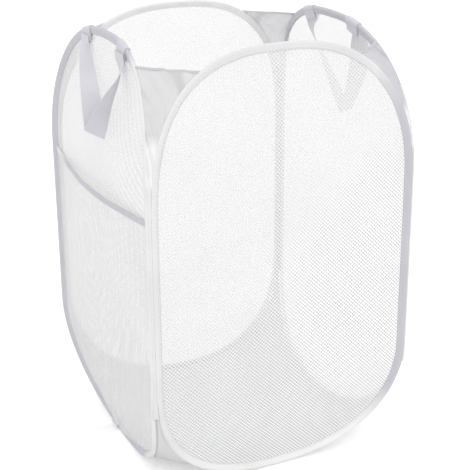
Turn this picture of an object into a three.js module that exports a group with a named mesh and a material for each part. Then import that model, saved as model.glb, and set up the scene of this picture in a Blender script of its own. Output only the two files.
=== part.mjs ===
// Pop up laundry hamper. Four mesh walls, each held open by a closed loop of flat spring wire
// in a cloth binding, are sewn together along their upright edges. Cloth gussets close the top
// corners, a cloth base closes the bottom, one wall carries a mesh pocket and a tie strap, and
// two webbing handles hang on the hoops. Millimetres, +Z up, origin on the floor at the centre.
// The front wall faces -Y, the right wall +X, the back wall +Y and the left wall -X.

import * as THREE from "three";

// Walls: the outline of a hoop's outer edge, seen square on, and how far its wall leans in
const seamSpan = 367;
const wallHeight = 588;
const topArcHeight = 203;
const bottomArcHeight = 167;
const topRoundness = 2.54;
const bottomRoundness = 2.29;
const topBow = 24.4;
const bottomBow = 26.6;
const topBowHeight = 177;
const bottomBowHeight = 145;
const topBowPower = 1.81;
const bottomBowPower = 1.62;

// Cloth, wire and the clearance between pieces that touch
const gap = 0.3;
const cloth = 0.6;
const meshThickness = 0.8;
const wireThickness = 1;
const wireWidth = 2.6;
const ferruleWall = 0.35;
const ferruleLength = 20;
const bindingWidth = 10.5;
const bindingNose = 1.2;
const bindingNoseHalf = 1.5;
const hingeClearance = 0.2;

// Corner pieces: rises are taken from the top of the bottom arc, drops from the top of the wall
const seamTapeLeg = 9;
const seamTapeRise = 7;
const seamTapeDrop = 156;
const gussetFootDrop = 148;
const gussetHeadDrop = 24;
const gussetThickness = 0.8;
const gussetEdgeGap = 0.8;
const hemHeight = 7;
const hemLap = 5.5;
const hemEndGap = 0.8;

// Base
const baseThickness = 0.8;
const baseEdgeRise = 2.5;
const baseEdgeShare = 0.14;

// Pocket on the left wall
const pocketFoot = 9;
const pocketMouthDrop = 198;
const pocketSag = 7;
const pocketBulge = 16;
const pocketEdgeInset = 8;
const pocketBulgePower = 1.5;
const pocketBindingHeight = 8;
const pocketBindingLap = 6.5;

// Webbing handles: where each end wraps its hoop, where the loop folds at its lowest point, and
// how far the middle of each leg leans along the wall and stands off it
const webbingWidth = 28;
const webbingThickness = 1.4;
const wrapThickness = 1.2;
const wrapOuterLeg = 14;
const wrapInnerLeg = 18;
const wrapChamfer = 1.2;
const leftHandle = {
  first: -70, second: 63, foldAt: 50, foldOut: 200, drop: 105,
  firstLean: 40, firstStand: 12, secondLean: 35, secondStand: 11,
};
const rightHandle = {
  first: 60, second: -60, foldAt: 17, foldOut: 202, drop: 136,
  firstLean: 36, firstStand: 9.5, secondLean: 4, secondStand: 14,
};
const handleAxisDrop = 16;
const foldRadius = 2.2;
const legRun = 22;
const legFlatShare = 1 / 6;
const leftFoldTurn = -75 * Math.PI / 180;
const rightFoldTurn = 64 * Math.PI / 180;

// Tie strap at the foot of the left wall
const tieWidth = 20;
const tieCentre = -31;
const tieReach = 81;
const tieThickness = 1.2;
const tieTabFoot = 1.4;
const tieTabHead = 13;
const tieRootGap = 0.4;

// Step counts
const arcSteps = 18;
const sideSteps = 3;
const cornerRows = 10;
const gussetColumns = 2;
const pocketRows = 13;
const pocketColumns = 10;
const legSteps = 12;
const foldSteps = 4;

// Sizes that follow
const seamHalf = seamSpan / 2;
const tubeHalf = wireWidth / 2 + gap + ferruleWall + gap + cloth;
const wallPlane = seamHalf + hingeClearance + hingeClearance + tubeHalf;
const cavityHalf = tubeHalf - cloth;
const cavityStart = bindingNose + gap;
const wireStart = cavityStart + ferruleWall + gap;
const wireEnd = wireStart + wireThickness;
const ferruleEnd = wireEnd + gap + ferruleWall;
const cavityEnd = ferruleEnd + gap;
const lipHalf = meshThickness / 2 + gap;
const panelInset = cavityEnd + gap;
const seamTapeFoot = bottomArcHeight + seamTapeRise;
const seamTapeHead = wallHeight - seamTapeDrop;
const gussetFoot = wallHeight - gussetFootDrop;
const gussetHead = wallHeight - gussetHeadDrop;
const pocketMouth = wallHeight - pocketMouthDrop;
const floorSlope = bottomBow * bottomBowPower / bottomBowHeight;
const floorLift = bindingNoseHalf * Math.sin(Math.atan(floorSlope)) + gap;
const quarterTurn = Math.PI / 2;

// Colours
const meshWhite = { color: 0xf6f6f7, roughness: 0.9, metalness: 0 };
const bindingGrey = { color: 0xdedde3, roughness: 0.85, metalness: 0 };
const webbingGrey = { color: 0xd3d1db, roughness: 0.85, metalness: 0 };
const clothGrey = { color: 0xe6e6ea, roughness: 0.9, metalness: 0 };
const tieWhite = { color: 0xf2f2f2, roughness: 0.9, metalness: 0 };
const springSteel = { color: 0xb9bcc2, roughness: 0.35, metalness: 1 };

const hamper = new THREE.Group();

function addPiece(parent, name, geometry, finish) {
  const mesh = new THREE.Mesh(geometry, new THREE.MeshStandardMaterial(finish));
  mesh.name = name;
  parent.add(mesh);
}

// A closed surface from triangles of points; triangles that collapse to a line are left out
function surface(triangles) {
  const positions = [];
  for (const [a, b, c] of triangles) {
    const collapsed = a.equals(b) || b.equals(c) || c.equals(a);
    if (!collapsed) {
      for (const corner of [a, b, c]) {
        positions.push(corner.x, corner.y, corner.z);
      }
    }
  }
  const geometry = new THREE.BufferGeometry();
  geometry.setAttribute("position", new THREE.Float32BufferAttribute(positions, 3));
  geometry.computeVertexNormals();
  return geometry;
}

// The flat end of a loft: section is its outline, counter-clockwise
function endFaces(section) {
  const faces = THREE.ShapeUtils.triangulateShape(section, []);
  return faces.map(([i, j, k]) => {
    const first = section[j].clone().sub(section[i]);
    const second = section[k].clone().sub(section[i]);
    return first.cross(second) > 0 ? [i, j, k] : [i, k, j];
  });
}

// Joins rings of points, each the image of one section; a closed loft has no ends
function loft(rings, section, closed) {
  const triangles = [];
  const last = closed ? rings.length : rings.length - 1;
  for (let i = 0; i < last; i += 1) {
    const here = rings[i];
    const next = rings[(i + 1) % rings.length];
    for (let j = 0; j < here.length; j += 1) {
      const k = (j + 1) % here.length;
      triangles.push([here[j], here[k], next[k]]);
      triangles.push([here[j], next[k], next[j]]);
    }
  }
  if (!closed) {
    const start = rings[0];
    const finish = rings[rings.length - 1];
    for (const [i, j, k] of endFaces(section)) {
      triangles.push([start[i], start[k], start[j]]);
      triangles.push([finish[i], finish[j], finish[k]]);
    }
  }
  return surface(triangles);
}

// A thin shell between two grids of points that share their row and column counts
function shell(outer, inner) {
  const triangles = [];
  const rows = outer.length - 1;
  const columns = outer[0].length - 1;
  const addQuad = (a, b, c, d) => {
    triangles.push([a, b, c]);
    triangles.push([a, c, d]);
  };
  for (let i = 0; i < rows; i += 1) {
    for (let j = 0; j < columns; j += 1) {
      addQuad(outer[i][j], outer[i][j + 1], outer[i + 1][j + 1], outer[i + 1][j]);
      addQuad(inner[i][j], inner[i + 1][j], inner[i + 1][j + 1], inner[i][j + 1]);
    }
    addQuad(outer[i][0], outer[i + 1][0], inner[i + 1][0], inner[i][0]);
    addQuad(outer[i][columns], inner[i][columns], inner[i + 1][columns], outer[i + 1][columns]);
  }
  for (let j = 0; j < columns; j += 1) {
    addQuad(outer[0][j], inner[0][j], inner[0][j + 1], outer[0][j + 1]);
    addQuad(outer[rows][j], outer[rows][j + 1], inner[rows][j + 1], inner[rows][j]);
  }
  return surface(triangles);
}

// How far a wall's middle surface stands from the hamper's axis at a height
function wallOffset(z) {
  const rise = Math.max(0, z - wallHeight + topBowHeight) / topBowHeight;
  const dip = Math.max(0, bottomBowHeight - z) / bottomBowHeight;
  return wallPlane - topBow * rise ** topBowPower - bottomBow * dip ** bottomBowPower;
}

function wallSlope(z) {
  const rise = Math.max(0, z - wallHeight + topBowHeight) / topBowHeight;
  const dip = Math.max(0, bottomBowHeight - z) / bottomBowHeight;
  const topSlope = topBow * topBowPower / topBowHeight * rise ** (topBowPower - 1);
  const bottomSlope = bottomBow * bottomBowPower / bottomBowHeight * dip ** (bottomBowPower - 1);
  return bottomSlope - topSlope;
}

// Half of the hoop's width at a height, to its outer edge
function edgeHalfWidth(z) {
  const up = Math.min(1, Math.max(0, z - wallHeight + topArcHeight) / topArcHeight);
  const down = Math.min(1, Math.max(0, bottomArcHeight - z) / bottomArcHeight);
  const topShare = (1 - up ** topRoundness) ** (1 / topRoundness);
  const bottomShare = (1 - down ** bottomRoundness) ** (1 / bottomRoundness);
  return seamHalf * topShare * bottomShare;
}

// The wall's outward normal at a height; every wall is built facing -Y and then turned
function wallNormal(z) {
  return new THREE.Vector3(0, -1, -wallSlope(z)).normalize();
}

function wallPoint(x, z, out) {
  const point = new THREE.Vector3(x, -wallOffset(z), z + floorLift);
  return point.addScaledVector(wallNormal(z), out);
}

// Outline points of the hoop, from the right seam over the top and round to the start
function hoopOutline() {
  const outline = [];
  const arcPoint = (angle, roundness, side) => {
    const across = Math.cos(angle) * side;
    const x = seamHalf * Math.sign(across) * Math.abs(across) ** (2 / roundness);
    return { x, share: Math.sin(angle) ** (2 / roundness) };
  };
  for (let i = 0; i <= arcSteps; i += 1) {
    const { x, share } = arcPoint(Math.PI * i / arcSteps, topRoundness, 1);
    outline.push({ x, z: wallHeight - topArcHeight + topArcHeight * share });
  }
  const sideHeight = wallHeight - topArcHeight - bottomArcHeight;
  for (let i = 1; i < sideSteps; i += 1) {
    outline.push({ x: -seamHalf, z: bottomArcHeight + sideHeight * (1 - i / sideSteps) });
  }
  for (let i = 0; i <= arcSteps; i += 1) {
    const { x, share } = arcPoint(Math.PI * i / arcSteps, bottomRoundness, -1);
    outline.push({ x, z: bottomArcHeight - bottomArcHeight * share });
  }
  for (let i = 1; i < sideSteps; i += 1) {
    outline.push({ x: seamHalf, z: bottomArcHeight + sideHeight * i / sideSteps });
  }
  return outline;
}

// A place on the hoop's outer edge with its directions into the wall and out of it
function hoopStations() {
  const outline = hoopOutline();
  return outline.map(({ x, z }, i) => {
    const before = outline[(i + outline.length - 1) % outline.length];
    const after = outline[(i + 1) % outline.length];
    const point = wallPoint(x, z, 0);
    const along = wallPoint(after.x, after.z, 0).sub(wallPoint(before.x, before.z, 0)).normalize();
    const out = wallNormal(z);
    const inward = out.clone().cross(along).normalize();
    return { x, z, point, inward, out };
  });
}

const stations = hoopStations();
const topStations = stations.slice(0, arcSteps + 1);
const bottomStations = stations.slice(arcSteps + sideSteps, arcSteps + sideSteps + arcSteps + 1);

// The place at some x on an arc, between the two stations that it lies between
function stationAt(arc, x) {
  const k = arc.findIndex((place, n) => n > 0 && (arc[n - 1].x - x) * (place.x - x) <= 0);
  const share = (x - arc[k - 1].x) / (arc[k].x - arc[k - 1].x);
  const mix = (key) => arc[k - 1][key].clone().lerp(arc[k][key], share);
  return { point: mix("point"), inward: mix("inward"), out: mix("out") };
}

// Part of an arc: its two ends and every station between them
function stationsAcross(arc, fromX, toX) {
  const between = arc.filter((place) => (place.x - fromX) * (place.x - toX) < 0);
  return [stationAt(arc, fromX), ...between, stationAt(arc, toX)];
}

function sectionAt(place, section) {
  return section.map((corner) => place.point.clone()
    .addScaledVector(place.inward, corner.x)
    .addScaledVector(place.out, corner.y));
}

function sweep(places, section, closed) {
  return loft(places.map((place) => sectionAt(place, section)), section, closed);
}

// A section's outline: x into the wall from the hoop's outer edge, y out of the wall
function outlineOf(points) {
  return points.map(([x, y]) => new THREE.Vector2(x, y));
}

function bandSection(start, end, half) {
  return outlineOf([[start, -half], [end, -half], [end, half], [start, half]]);
}

// Folded tape: round the wire and tapering to two lips that hold the mesh
function bindingSection() {
  const outerHalf = [[bindingWidth, lipHalf + cloth], [cavityEnd + gap, tubeHalf],
    [bindingNose, tubeHalf], [0, bindingNoseHalf]];
  const innerHalf = [[bindingWidth, lipHalf], [cavityEnd, cavityHalf],
    [cavityStart, cavityHalf], [cloth, bindingNoseHalf - gap]];
  const mirrored = (half) => half.map(([x, y]) => [x, -y]);
  const outer = outerHalf.concat(mirrored(outerHalf).reverse());
  const inner = mirrored(innerHalf).concat(innerHalf.slice().reverse());
  return outlineOf(outer.concat(inner));
}

function addBinding(wall, name) {
  addPiece(wall, `${name}_wall_binding`, sweep(stations, bindingSection(), true), bindingGrey);
}

function addHoop(wall, name) {
  const section = bandSection(wireStart, wireEnd, wireWidth / 2);
  addPiece(wall, `${name}_wall_hoop`, sweep(stations, section, true), springSteel);
}

// Crimped sleeve that closes the wire into a loop, at the foot of the wall
function addFerrule(wall, name) {
  const places = stationsAcross(bottomStations, gap, gap + ferruleLength);
  const outer = bandSection(cavityStart, ferruleEnd, cavityHalf - gap);
  const inner = bandSection(cavityStart + ferruleWall, ferruleEnd - ferruleWall,
    cavityHalf - gap - ferruleWall);
  const rings = [];
  for (const [section, order] of [[outer, places], [inner, places.slice().reverse()]]) {
    for (const place of order) {
      rings.push(sectionAt(place, section));
    }
  }
  addPiece(wall, `${name}_wall_hoop_ferrule`, loft(rings, outer, true), springSteel);
}

// The mesh itself: level rows between the two sides, its edge inside the binding
function addMesh(wall, name) {
  const rightSide = [...bottomStations.slice(arcSteps / 2),
    ...stations.slice(arcSteps + sideSteps + arcSteps + 1),
    ...topStations.slice(0, arcSteps / 2 + 1)];
  const rows = rightSide.map(({ point, inward, out }) => {
    const right = point.clone().addScaledVector(inward, panelInset);
    const left = right.clone();
    left.x = -right.x;
    return { right, left, out };
  });
  const grid = (side) => rows.map(({ right, left, out }) => [left, right].map((point) => (
    point.clone().addScaledVector(out, side * meshThickness / 2))));
  addPiece(wall, `${name}_wall_mesh`, shell(grid(1), grid(-1)), meshWhite);
}

function addWall(name, turn) {
  const wall = new THREE.Group();
  wall.rotation.z = turn;
  hamper.add(wall);
  addMesh(wall, name);
  addHoop(wall, name);
  addFerrule(wall, name);
  addBinding(wall, name);
  return wall;
}

// Corner pieces are built at the front left corner, symmetric about its diagonal, then turned
const cornerAcross = new THREE.Vector3(-1, 1, 0).normalize();
const cornerOut = new THREE.Vector3(-1, -1, 0).normalize();

function cornerHalfGap(z) {
  return (wallOffset(z) - edgeHalfWidth(z)) / Math.SQRT2 - gussetEdgeGap;
}

function cornerPoint(z, across, out) {
  const reach = (wallOffset(z) + edgeHalfWidth(z)) / Math.SQRT2;
  return new THREE.Vector3(0, 0, z + floorLift)
    .addScaledVector(cornerOut, reach + out)
    .addScaledVector(cornerAcross, across);
}

// Narrow tape inside the corner that the two bindings are sewn to
function addSeamTape(corner, name) {
  const rings = [];
  for (let i = 0; i <= cornerRows; i += 1) {
    const z = seamTapeFoot + (seamTapeHead - seamTapeFoot) * i / cornerRows;
    const face = tubeHalf + gap - wallOffset(z);
    const plan = [[0, 0], [seamTapeLeg, 0], [seamTapeLeg, cloth], [cloth, cloth],
      [cloth, seamTapeLeg], [0, seamTapeLeg]];
    rings.push(plan.map(([x, y]) => new THREE.Vector3(face + x, face + y, z + floorLift)));
  }
  const section = rings[0].map((point) => new THREE.Vector2(point.x, point.y));
  addPiece(corner, `${name}_seam_tape`, loft(rings, section, false), bindingGrey);
}

function addGusset(corner, name) {
  const grid = (side) => {
    const rows = [];
    for (let i = 0; i <= cornerRows; i += 1) {
      const z = gussetFoot + (gussetHead - gussetFoot) * i / cornerRows;
      const row = [];
      for (let j = 0; j <= gussetColumns; j += 1) {
        const across = cornerHalfGap(z) * (2 * j / gussetColumns - 1);
        row.push(cornerPoint(z, across, side * gussetThickness / 2));
      }
      rows.push(row);
    }
    return rows;
  };
  addPiece(corner, `${name}_gusset`, shell(grid(-1), grid(1)), clothGrey);
}

// A folded tape over an edge: y across the sheet, x up past the edge
function foldedTape(sheetHalf, height, lap) {
  const inner = sheetHalf + gap;
  const outer = inner + cloth;
  const foot = -lap;
  const head = height - lap;
  return outlineOf([[foot, inner], [gap, inner], [gap, -inner], [foot, -inner],
    [foot, -outer], [head, -outer], [head, outer], [foot, outer]]);
}

function addGussetHem(corner, name) {
  const section = foldedTape(gussetThickness / 2, hemHeight, hemLap);
  const base = cornerPoint(gussetHead, 0, 0);
  const slope = base.clone().sub(cornerPoint(gussetHead - hemLap, 0, 0)).normalize();
  const out = slope.clone().cross(cornerAcross);
  const rings = [1, -1].map((end) => section.map((point) => {
    const half = cornerHalfGap(gussetHead + point.x) - hemEndGap;
    return base.clone().addScaledVector(slope, point.x)
      .addScaledVector(out, point.y)
      .addScaledVector(cornerAcross, end * half);
  }));
  addPiece(corner, `${name}_gusset_hem`, loft(rings, section, false), bindingGrey);
}

function addCorner(name, turn) {
  const corner = new THREE.Group();
  corner.rotation.z = turn;
  hamper.add(corner);
  addSeamTape(corner, name);
  addGusset(corner, name);
  addGussetHem(corner, name);
}

// Height of the bottom arc at a share of the half width
function arcShareHeight(share) {
  const fall = (1 - Math.abs(share) ** bottomRoundness) ** (1 / bottomRoundness);
  return bottomArcHeight * (1 - fall);
}

// The base lies flat in the middle and rises to each corner, taut between two hoops
function basePoint(u, v) {
  const chord = Math.max(0, Math.abs(u) + Math.abs(v) - 1);
  const edge = Math.max(0, Math.max(Math.abs(u), Math.abs(v)) - 1 + baseEdgeShare) / baseEdgeShare;
  const x = u * (wallOffset(arcShareHeight(v)) - tubeHalf - gap);
  const y = v * (wallOffset(arcShareHeight(u)) - tubeHalf - gap);
  return new THREE.Vector3(x, y, arcShareHeight(chord) + baseEdgeRise * edge);
}

function addBase() {
  const shares = bottomStations.map(({ x }) => x / seamHalf);
  const under = shares.map((v) => shares.map((u) => basePoint(u, v)));
  const upper = under.map((row, i) => row.map((point, j) => {
    const last = shares.length - 1;
    const alongX = row[Math.min(j + 1, last)].clone().sub(row[Math.max(j - 1, 0)]);
    const alongY = under[Math.min(i + 1, last)][j].clone().sub(under[Math.max(i - 1, 0)][j]);
    return point.clone().addScaledVector(alongX.cross(alongY).normalize(), baseThickness);
  }));
  addPiece(hamper, "base_panel", shell(upper, under), clothGrey);
}

// A point of the pocket: across from -1 to 1, up from 0 at its foot to 1 at its mouth
function pocketPoint(across, up, out) {
  const side = pocketFoot + (pocketMouth - pocketFoot) * up;
  const bay = 1 - across ** 2;
  const z = side - pocketSag * bay * up ** 2;
  const bulge = pocketBulge * bay * Math.sin(quarterTurn * up) ** pocketBulgePower;
  const hem = (cloth + gap) * up;
  const stand = tubeHalf + gap + meshThickness / 2 + hem + bulge;
  return wallPoint(across * (edgeHalfWidth(side) - pocketEdgeInset), z, stand + out);
}

function addPocket(wall) {
  const grid = (side) => {
    const rows = [];
    for (let i = 0; i <= pocketRows; i += 1) {
      const up = (i / pocketRows) ** pocketBulgePower;
      const row = [];
      for (let j = 0; j <= pocketColumns; j += 1) {
        row.push(pocketPoint(2 * j / pocketColumns - 1, up, side * meshThickness / 2));
      }
      rows.push(row);
    }
    return rows;
  };
  addPiece(wall, "pocket_mesh", shell(grid(1), grid(-1)), meshWhite);
}

function addPocketBinding(wall) {
  const section = foldedTape(meshThickness / 2, pocketBindingHeight, pocketBindingLap);
  const rings = [];
  for (let j = 0; j <= pocketColumns; j += 1) {
    const across = 2 * j / pocketColumns - 1;
    const edge = pocketPoint(across, 1, 0);
    const out = wallNormal(pocketMouth);
    const up = new THREE.Vector3(1, 0, 0).cross(out).negate();
    rings.push(section.map((point) => edge.clone()
      .addScaledVector(up, point.x)
      .addScaledVector(out, point.y)));
  }
  addPiece(wall, "pocket_mouth_binding", loft(rings, section, false), bindingGrey);
}

// Webbing sewn over a hoop: a cap with a long tail inside and a short leg outside
function wrapSection() {
  const inner = tubeHalf + gap;
  const outer = inner + wrapThickness;
  const noseInner = bindingNoseHalf + gap;
  const capOut = -gap - wrapThickness;
  return outlineOf([[wrapInnerLeg, -inner], [wrapChamfer - gap, -inner], [-gap, -noseInner],
    [-gap, noseInner], [wrapChamfer - gap, inner], [wrapOuterLeg, inner], [wrapOuterLeg, outer],
    [0, outer], [capOut, inner], [capOut, -inner], [0, -outer], [wrapInnerLeg, -outer]]);
}

function addWrap(wall, name, centre) {
  const half = webbingWidth / 2;
  const places = stationsAcross(topStations, centre + half, centre - half);
  addPiece(wall, name, sweep(places, wrapSection(), false), webbingGrey);
}

// Where the webbing leaves a wrap: the handle swings about the line through both
function webbingRoot(centre, height) {
  const place = stationAt(topStations, centre);
  const out = tubeHalf + gap + wrapThickness + gap + webbingThickness / 2;
  const down = (place.point.z - height) / -place.inward.z;
  return place.point.clone().addScaledVector(place.inward, down).addScaledVector(place.out, out);
}

// The loop's centre line, with its direction and the turn of the webbing at each place
function handlePath(handle, foldTurn) {
  const side = Math.sign(handle.second - handle.first);
  const height = wallHeight + floorLift - handleAxisDrop;
  const foldZ = height - handle.drop;
  const foldAcross = new THREE.Vector3(Math.cos(foldTurn), -Math.sin(foldTurn), 0);
  const foldStep = new THREE.Vector3(-foldAcross.y, foldAcross.x, 0);
  foldStep.multiplyScalar(Math.sign(foldStep.x) * side * foldRadius);
  const fold = new THREE.Vector3(handle.foldAt, -handle.foldOut, foldZ + foldRadius);
  const legCurve = (centre, lean, stand, end) => {
    const root = webbingRoot(centre, height);
    const below = new THREE.Vector3(lean / 2, -stand / 2, -legRun);
    const middle = root.clone().lerp(end, 1 / 2).add(new THREE.Vector3(lean, -stand, 0));
    return new THREE.CatmullRomCurve3([root, root.clone().add(below), middle, end]);
  };
  const firstEnd = fold.clone().sub(foldStep);
  const secondEnd = fold.clone().add(foldStep);
  const firstLeg = legCurve(handle.first, handle.firstLean, handle.firstStand, firstEnd);
  const secondLeg = legCurve(handle.second, handle.secondLean, handle.secondStand, secondEnd);
  const places = [];
  const addPlace = (point, along, angle) => places.push({ point, along, angle });
  const halfTurn = Math.PI * Math.sign(foldTurn);
  const twist = (i) => Math.max(0, i / legSteps - legFlatShare) / (1 - legFlatShare);
  for (let i = 0; i <= legSteps; i += 1) {
    const share = i / legSteps;
    addPlace(firstLeg.getPoint(share), firstLeg.getTangent(share), foldTurn * twist(i));
  }
  for (let i = 1; i < foldSteps; i += 1) {
    const angle = Math.PI * i / foldSteps;
    const point = fold.clone().addScaledVector(foldStep, -Math.cos(angle));
    point.z -= foldRadius * Math.sin(angle);
    const along = foldStep.clone().multiplyScalar(Math.sin(angle) / foldRadius);
    along.z = -Math.cos(angle);
    addPlace(point, along, foldTurn);
  }
  for (let i = legSteps; i >= 0; i -= 1) {
    const share = i / legSteps;
    const angle = halfTurn + (foldTurn - halfTurn) * twist(i);
    addPlace(secondLeg.getPoint(share), secondLeg.getTangent(share).negate(), angle);
  }
  return places;
}

// The webbing's cross lines stay level, so that both of its ends lie along the hinge line
function webbingRings(places) {
  return places.map(({ point, along, angle }) => {
    const across = new THREE.Vector3(Math.cos(angle), -Math.sin(angle), 0);
    const face = along.clone().cross(across).normalize();
    return [[-1, -1], [1, -1], [1, 1], [-1, 1]].map(([a, b]) => point.clone()
      .addScaledVector(across, a * webbingWidth / 2)
      .addScaledVector(face, b * webbingThickness / 2));
  });
}

function addHandle(wall, name, handle, foldTurn) {
  const section = bandSection(-1, 1, 1);
  const rings = webbingRings(handlePath(handle, foldTurn));
  addPiece(wall, `${name}_handle_strap`, loft(rings, section, false), webbingGrey);
  addWrap(wall, `${name}_handle_rear_wrap`, handle.first);
  addWrap(wall, `${name}_handle_front_wrap`, handle.second);
}

// Patch sewn to the foot of the wall, and the tie strap that lies on the floor from it
function addTieStrap(wall) {
  const tabIn = tubeHalf + gap + meshThickness + gap;
  const half = tieWidth / 2;
  const places = stationsAcross(bottomStations, tieCentre - half, tieCentre + half);
  const section = outlineOf([[tieTabFoot, tabIn], [tieTabHead, tabIn],
    [tieTabHead, tabIn + tieThickness], [tieTabFoot, tabIn + tieThickness]]);
  addPiece(wall, "tie_strap_tab", sweep(places, section, false), webbingGrey);
  const lowest = sectionAt(places[0], section)[section.length - 1];
  const strap = new THREE.BoxGeometry(tieWidth, tieReach, tieThickness);
  strap.translate(tieCentre, lowest.y - tieRootGap - tieReach / 2, tieThickness / 2);
  addPiece(wall, "tie_strap", strap, tieWhite);
}

addWall("front", 0);
const rightWall = addWall("right", quarterTurn);
addWall("back", 2 * quarterTurn);
const leftWall = addWall("left", -quarterTurn);
addCorner("front_left", 0);
addCorner("front_right", quarterTurn);
addCorner("back_right", 2 * quarterTurn);
addCorner("back_left", -quarterTurn);
addBase();
addPocket(leftWall);
addPocketBinding(leftWall);
addHandle(leftWall, "left", leftHandle, leftFoldTurn);
addHandle(rightWall, "right", rightHandle, rightFoldTurn);
addTieStrap(leftWall);

export default hamper;
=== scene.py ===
"""Pop up laundry hamper, dressed: net walls, taped hoops, gussets, base, pocket, handles and tie."""

import math

import bmesh
import bpy
from mathutils import Euler, Matrix, Vector, noise


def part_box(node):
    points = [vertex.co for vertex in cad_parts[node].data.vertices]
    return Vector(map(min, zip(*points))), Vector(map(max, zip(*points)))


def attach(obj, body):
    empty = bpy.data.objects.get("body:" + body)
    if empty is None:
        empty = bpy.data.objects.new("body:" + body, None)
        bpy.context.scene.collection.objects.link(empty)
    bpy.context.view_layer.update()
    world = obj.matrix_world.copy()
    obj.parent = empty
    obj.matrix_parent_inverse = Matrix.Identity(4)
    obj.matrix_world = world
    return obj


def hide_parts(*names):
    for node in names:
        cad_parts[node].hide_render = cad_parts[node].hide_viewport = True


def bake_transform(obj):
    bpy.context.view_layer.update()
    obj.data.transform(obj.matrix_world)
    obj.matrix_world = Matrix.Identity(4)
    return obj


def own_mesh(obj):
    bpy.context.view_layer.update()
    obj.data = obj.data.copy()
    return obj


bl_info = {
    "name": "Pop Up Laundry Hamper",
    "version": (1, 0, 0),
    "blender": (4, 5, 0),
    "location": "3D View > Sidebar > Hamper",
    "description": "Nets, tapes, cloth and webbing of a pop up laundry hamper, on its packed frame",
    "category": "Add Mesh",
}

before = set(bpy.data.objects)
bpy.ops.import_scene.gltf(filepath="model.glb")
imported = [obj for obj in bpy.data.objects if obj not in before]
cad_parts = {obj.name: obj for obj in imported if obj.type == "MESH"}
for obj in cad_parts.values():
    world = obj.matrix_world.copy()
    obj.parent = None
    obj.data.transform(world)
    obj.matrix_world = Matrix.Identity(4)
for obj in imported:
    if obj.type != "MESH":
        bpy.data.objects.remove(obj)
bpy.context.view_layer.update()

# The hoops, as the solids have them, in metres
SEAM_HALF = 0.1835
WALL_HEIGHT = 0.588
TOP_ARC = 0.203
BOTTOM_ARC = 0.167
TOP_ROUNDNESS = 2.54
BOTTOM_ROUNDNESS = 2.29
TOP_BOW = 0.0244
BOTTOM_BOW = 0.0266
TOP_BOW_HEIGHT = 0.177
BOTTOM_BOW_HEIGHT = 0.145
TOP_BOW_POWER = 1.81
BOTTOM_BOW_POWER = 1.62
WALL_PLANE = 0.18675
FLOOR_LIFT = 0.00073
TUBE_HALF = 0.00285
CLOTH = 0.0006
GAP = 0.0003
TAPE_WIDTH = 0.0105
WIRE_DEPTH = 0.0026
SEAM_LEAN = math.radians(35)
# Hinge lines of the corners, the depth of the net's edge in its tape, and of the tape's stitches
NET_DEPTH = 0.0092
SEW_DEPTH = 0.0088
TAPE_FACE = 0.0015
SHEET_THICKNESS = 0.0005
TURNS = {"front": 0.0, "right": math.pi / 2, "back": math.pi, "left": -math.pi / 2}
CORNERS = {
    "front_left": ("front_wall", "left_wall", 0.0),
    "front_right": ("front_wall", "right_wall", math.pi / 2),
    "back_right": ("right_wall", "back_wall", math.pi),
    "back_left": ("left_wall", "back_left_corner", -math.pi / 2),
}

# Step counts
ARC_STEPS = 64
SIDE_STEPS = 16
NET_COLUMNS = 44


# ---- Shape of a wall


def wall_offset(z):
    """How far a wall's middle surface stands from the hamper's axis at a height."""
    rise = max(0.0, z - WALL_HEIGHT + TOP_BOW_HEIGHT) / TOP_BOW_HEIGHT
    dip = max(0.0, BOTTOM_BOW_HEIGHT - z) / BOTTOM_BOW_HEIGHT
    return WALL_PLANE - TOP_BOW * rise ** TOP_BOW_POWER - BOTTOM_BOW * dip ** BOTTOM_BOW_POWER


def wall_slope(z):
    """How fast that distance grows with height."""
    rise = max(0.0, z - WALL_HEIGHT + TOP_BOW_HEIGHT) / TOP_BOW_HEIGHT
    dip = max(0.0, BOTTOM_BOW_HEIGHT - z) / BOTTOM_BOW_HEIGHT
    top = TOP_BOW * TOP_BOW_POWER / TOP_BOW_HEIGHT * rise ** (TOP_BOW_POWER - 1)
    bottom = BOTTOM_BOW * BOTTOM_BOW_POWER / BOTTOM_BOW_HEIGHT * dip ** (BOTTOM_BOW_POWER - 1)
    return bottom - top


def edge_half_width(z):
    """Half of the hoop's width at a height."""
    up = min(1.0, max(0.0, z - WALL_HEIGHT + TOP_ARC) / TOP_ARC)
    down = min(1.0, max(0.0, BOTTOM_ARC - z) / BOTTOM_ARC)
    top = (1 - up ** TOP_ROUNDNESS) ** (1 / TOP_ROUNDNESS)
    bottom = (1 - down ** BOTTOM_ROUNDNESS) ** (1 / BOTTOM_ROUNDNESS)
    return SEAM_HALF * top * bottom


def wall_normal(z):
    """The way out of the front wall at a height."""
    return Vector((0, -1, -wall_slope(z))).normalized()


def wall_point(x, z, out=0.0):
    """A point of the front wall; the other walls are this one turned."""
    return Vector((x, -wall_offset(z), z + FLOOR_LIFT)) + wall_normal(z) * out


class Station:
    """A place on the hoop's outer edge, with its directions into the wall and out of it.

    lean turns the tape about its wire, towards the inside of the hamper.
    """

    def __init__(self, x, z, point, inward, out, lean=0.0):
        self.x, self.z, self.point, self.inward, self.out, self.lean = x, z, point, inward, out, lean

    def at(self, depth, out):
        reach = depth - WIRE_DEPTH
        deep = WIRE_DEPTH + reach * math.cos(self.lean) + out * math.sin(self.lean)
        out = out * math.cos(self.lean) - reach * math.sin(self.lean)
        return self.point + self.inward * deep + self.out * out

    def mixed(self, other, share):
        mix = lambda a, b: a.lerp(b, share)
        return Station(self.x + (other.x - self.x) * share, self.z + (other.z - self.z) * share,
                       mix(self.point, other.point), mix(self.inward, other.inward).normalized(),
                       mix(self.out, other.out).normalized(),
                       self.lean + (other.lean - self.lean) * share)


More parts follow.
